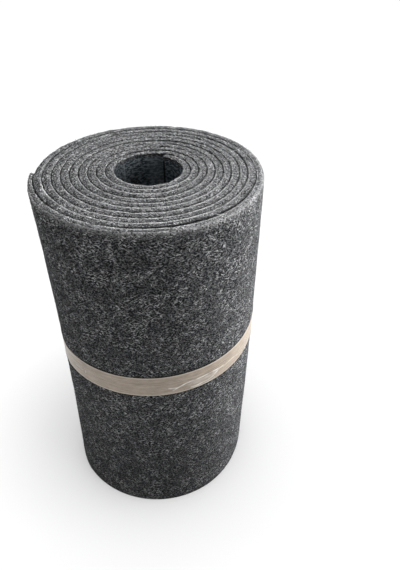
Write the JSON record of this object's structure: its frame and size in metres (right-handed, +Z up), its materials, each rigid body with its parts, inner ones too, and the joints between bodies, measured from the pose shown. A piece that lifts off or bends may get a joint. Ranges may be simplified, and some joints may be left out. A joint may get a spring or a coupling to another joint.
{
  "type": "roll of felt",
  "caption": "Thick charcoal needled felt wound into a roll that stands on end, with an open bore, a loose outer end and a flat beige tape band round its middle.",
  "frame": {"origin": "middle of the roll's footprint, on the surface that it stands on", "axes": "+Z up along the roll's axis, +Y away from the picture's viewer, +X to the viewer's right; the loose outer end is at -X"},
  "size_m": [0.2794, 0.2778, 0.5],
  "materials": {
    "felt": "matt needled felt, charcoal mottled with lighter fibres",
    "tape": "satin beige packing tape with fine lengthwise streaks"
  },
  "bodies": {
    "root": {"felt_roll": "felt", "tape_band": "tape"}
  },
  "joints": []
}
